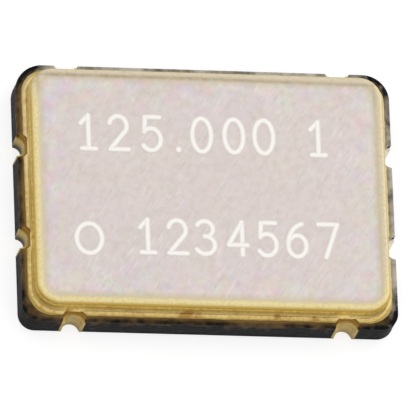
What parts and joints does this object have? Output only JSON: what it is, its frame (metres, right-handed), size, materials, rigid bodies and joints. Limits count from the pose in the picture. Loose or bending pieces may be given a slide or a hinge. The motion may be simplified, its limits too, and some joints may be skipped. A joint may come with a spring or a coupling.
{
  "type": "crystal oscillator",
  "caption": "Surface-mount crystal oscillator: a dark ceramic package with edge notches, a gold-plated seal ring and a welded metal lid over a quartz blank and its driver chip.",
  "frame": {"origin": "centre of the soldering face, on the plane of the four terminal pads", "axes": "+X along the 7 mm side, +Y along the 5 mm side, +Z from the soldering face up to the lid; terminal 1 is at -X -Y, and the numbers run counter-clockwise seen from the lid"},
  "size_m": [0.007, 0.005, 0.001],
  "materials": {
    "ceramic": "dark grey alumina, co-fired and unglazed",
    "gold_plating": "matt gold plating over nickel on printed tungsten",
    "braze": "silver-copper braze under gold plating",
    "ring_plating": "gold plating on a stamped iron-nickel-cobalt ring",
    "lid_metal": "nickel-plated iron-nickel-cobalt sheet, finely rolled",
    "silicon": "polished silicon",
    "chip_glue": "silver-filled adhesive",
    "crystal_glue": "silver-filled silicone adhesive",
    "gold_wire": "drawn gold wire",
    "quartz": "lapped and etched quartz",
    "electrode_film": "evaporated gold film"
  },
  "bodies": {
    "root": {"ceramic_base": "ceramic", "seal_frame": "gold_plating", "ring_braze": "braze", "seal_ring": "ring_plating", "lid": "lid_metal", "terminal_enable": "gold_plating", "terminal_ground": "gold_plating", "terminal_output": "gold_plating", "terminal_supply": "gold_plating", "side_terminal_1": "gold_plating", "side_terminal_2": "gold_plating", "side_terminal_3": "gold_plating", "side_terminal_4": "gold_plating", "crystal_land_a": "gold_plating", "crystal_land_b": "gold_plating", "chip_adhesive": "chip_glue", "oscillator_chip": "silicon", "bond_wire_enable": "gold_wire", "bond_wire_ground": "gold_wire", "bond_wire_output": "gold_wire", "bond_wire_supply": "gold_wire", "bond_wire_side_1": "gold_wire", "bond_wire_side_2": "gold_wire", "bond_wire_side_3": "gold_wire", "bond_wire_side_4": "gold_wire", "bond_wire_crystal_a": "gold_wire", "bond_wire_crystal_b": "gold_wire", "crystal_adhesive_a": "crystal_glue", "crystal_adhesive_b": "crystal_glue", "crystal_blank": "quartz", "electrode_top": "electrode_film", "electrode_bottom": "electrode_film"}
  },
  "joints": []
}
